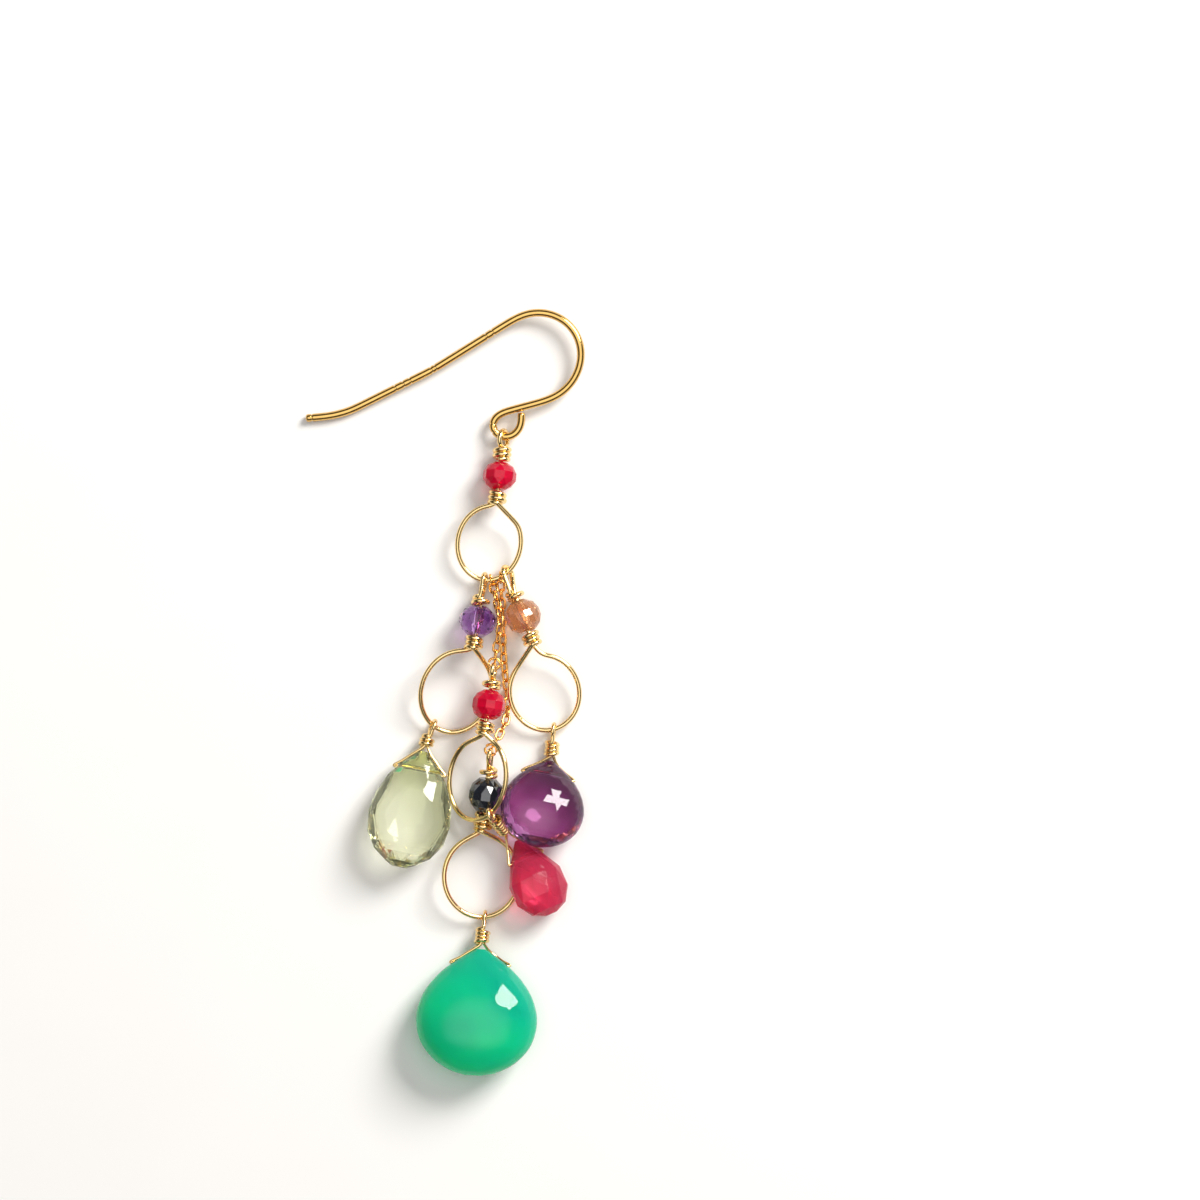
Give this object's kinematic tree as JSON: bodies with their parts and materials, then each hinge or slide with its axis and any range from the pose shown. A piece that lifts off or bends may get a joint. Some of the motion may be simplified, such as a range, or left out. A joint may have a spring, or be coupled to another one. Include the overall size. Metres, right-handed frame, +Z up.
{
  "type": "drop earring",
  "caption": "Drop earring of gold wire rings and chains with faceted beads and briolette drops, lying flat with its ear hook.",
  "frame": {"origin": "middle of the plan box, on the table that the earring lies on", "axes": "+Z up from the table, +Y from the drops towards the ear hook, +X to the right seen from above"},
  "size_m": [0.028, 0.0764, 0.0058],
  "materials": {
    "gold_wire": "polished yellow gold",
    "ruby_bead": "faceted raspberry bead, nearly opaque",
    "amethyst_bead": "faceted violet bead",
    "peach_bead": "faceted clear salmon bead",
    "blue_bead": "faceted slate blue bead",
    "prasiolite": "faceted pale yellow-green drop",
    "purple_stone": "faceted purple drop",
    "red_stone": "faceted raspberry red drop",
    "green_onyx": "faceted milky green drop"
  },
  "bodies": {
    "root": {"ear_hook": "gold_wire", "top_link_wire": "gold_wire", "amethyst_link_wire": "gold_wire", "peach_link_wire": "gold_wire", "ruby_link_wire": "gold_wire", "blue_link_wire": "gold_wire", "prasiolite_wire": "gold_wire", "purple_drop_wire": "gold_wire", "red_drop_wire": "gold_wire", "onyx_drop_wire": "gold_wire", "short_chain": "gold_wire", "long_chain": "gold_wire", "top_bead": "ruby_bead", "ruby_bead": "ruby_bead", "amethyst_bead": "amethyst_bead", "peach_bead": "peach_bead", "blue_bead": "blue_bead", "prasiolite_drop": "prasiolite", "purple_drop": "purple_stone", "red_drop": "red_stone", "onyx_drop": "green_onyx"}
  },
  "joints": []
}
